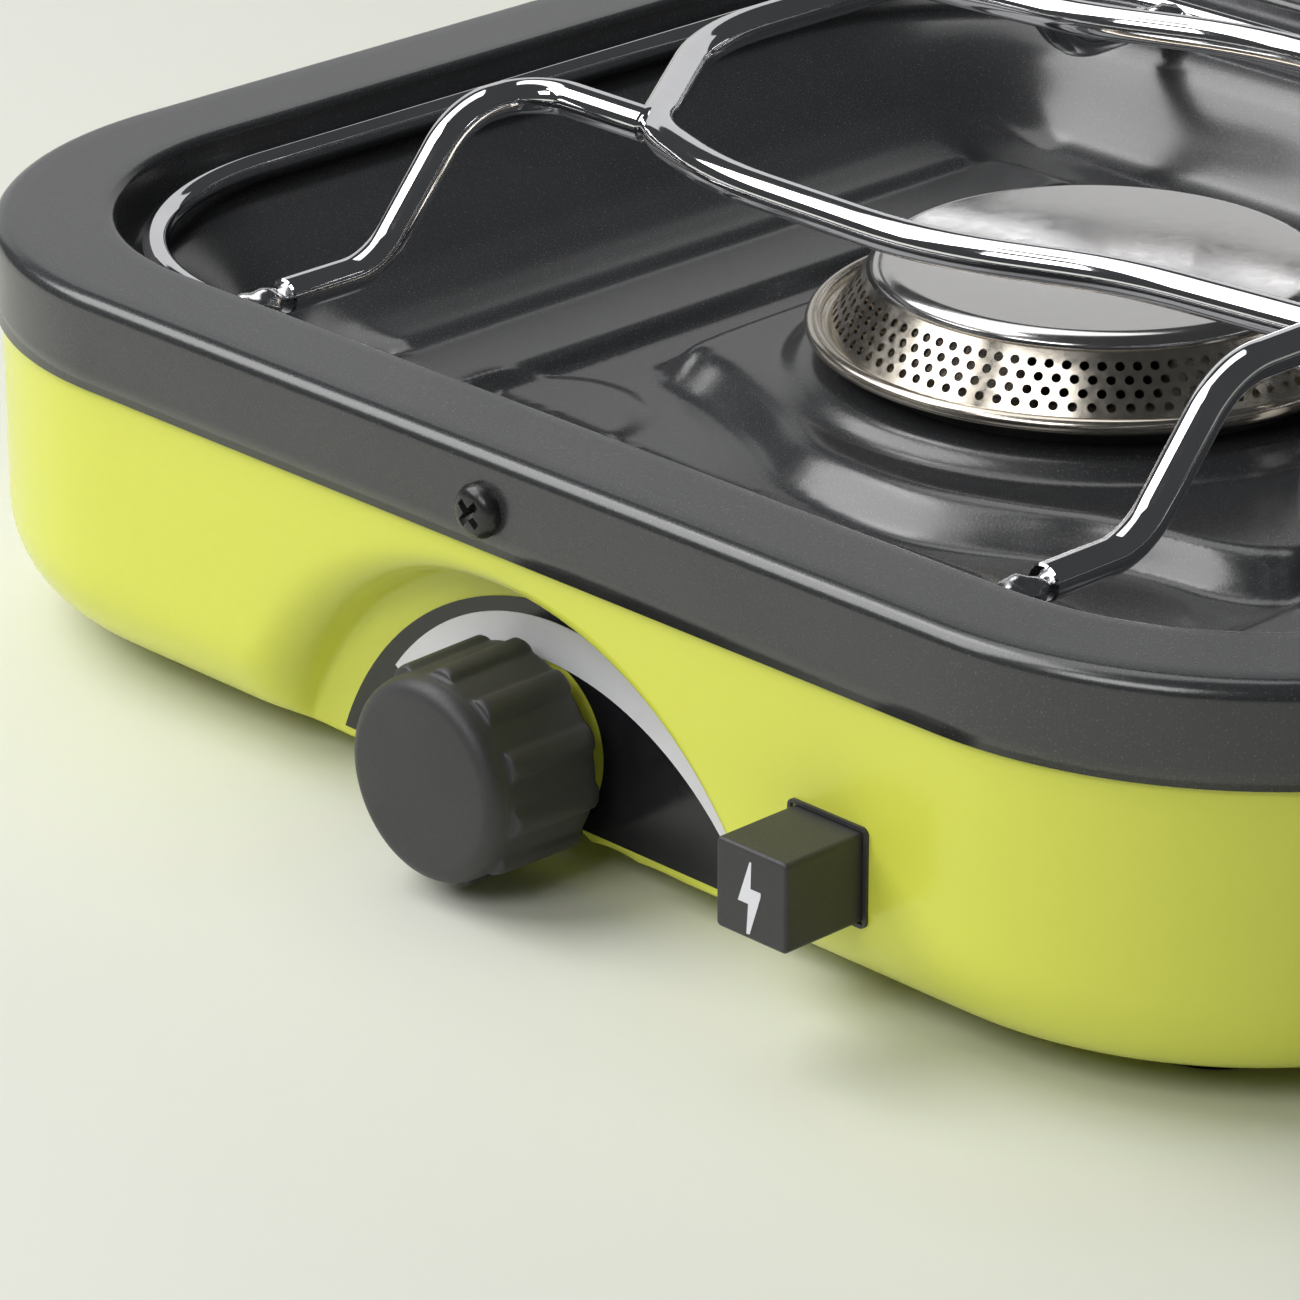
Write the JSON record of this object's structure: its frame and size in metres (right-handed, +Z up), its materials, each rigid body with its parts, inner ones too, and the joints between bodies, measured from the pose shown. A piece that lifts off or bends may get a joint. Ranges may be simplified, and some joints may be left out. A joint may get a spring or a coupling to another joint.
{
  "type": "camping stove",
  "caption": "Single-burner camping gas stove with a rounded pressed-steel body, black drip tray, wire pan support, control knob and spark button.",
  "frame": {"origin": "on the floor under the burner's axis, the middle of the body", "axes": "+X to the right and +Y to the back as seen from the control side, +Z up"},
  "size_m": [0.2952, 0.277, 0.0817],
  "materials": {
    "lime_paint": "gloss",
    "black_enamel": "satin",
    "black_steel": "satin",
    "zinc_steel": "satin",
    "stainless": "brushed",
    "burner_black": "satin",
    "chrome_wire": "polished",
    "brass": "satin",
    "copper": "satin",
    "black_plastic": "matte",
    "gloss_black_print": "gloss",
    "white_print": "gloss",
    "ceramic": "glazed",
    "lead_rubber": "satin",
    "black_rubber": "matte"
  },
  "bodies": {
    "root": {"body_shell": "lime_paint", "burner_base": "burner_black", "burner_cap": "stainless", "burner_dish": "stainless", "burner_ring": "stainless", "burner_screws": "zinc_steel", "control_sticker": "gloss_black_print", "electrode_bracket": "zinc_steel", "electrode_insulator": "ceramic", "electrode_pin": "stainless", "electrode_screw": "zinc_steel", "feet": "black_rubber", "flame_scale": "white_print", "foot_nuts": "zinc_steel", "foot_screws": "zinc_steel", "gas_jet": "brass", "gas_pipe": "copper", "igniter_bezel": "black_plastic", "igniter_body": "black_plastic", "igniter_clip": "zinc_steel", "igniter_spring": "zinc_steel", "ignition_lead": "lead_rubber", "inlet_fitting": "brass", "inlet_nut": "brass", "mixing_tube": "zinc_steel", "pipe_nuts": "brass", "rim_clip_nuts": "zinc_steel", "rim_screws": "black_steel", "top_tray": "black_enamel", "valve_body": "brass", "valve_nut": "zinc_steel"},
    "knob": {"control_knob": "black_plastic", "knob_clip": "zinc_steel", "valve_stem": "zinc_steel"},
    "button": {"igniter_button": "black_plastic"},
    "pan_support": {"pan_ring": "chrome_wire", "pan_finger_right": "chrome_wire", "pan_finger_left": "chrome_wire", "pan_finger_front": "chrome_wire", "pan_finger_back": "chrome_wire"}
  },
  "joints": [
    {"name": "knob_turn", "type": "hinge", "parent": "root", "child": "knob", "pos_m": [0, -0.114, 0.0185], "axis": [0, -1, 0], "range_deg": [0, 200]},
    {"name": "button_press", "type": "slide", "parent": "root", "child": "button", "axis": [0, 1, 0], "range_m": [0, 0.005], "stiffness_N_per_m": 1500, "springref_m": -0.003, "deforming": ["igniter_spring"]},
    {"name": "pan_support_lift", "type": "slide", "parent": "root", "child": "pan_support", "axis": [0, 0, 1], "range_m": [0, 0.04]}
  ]
}
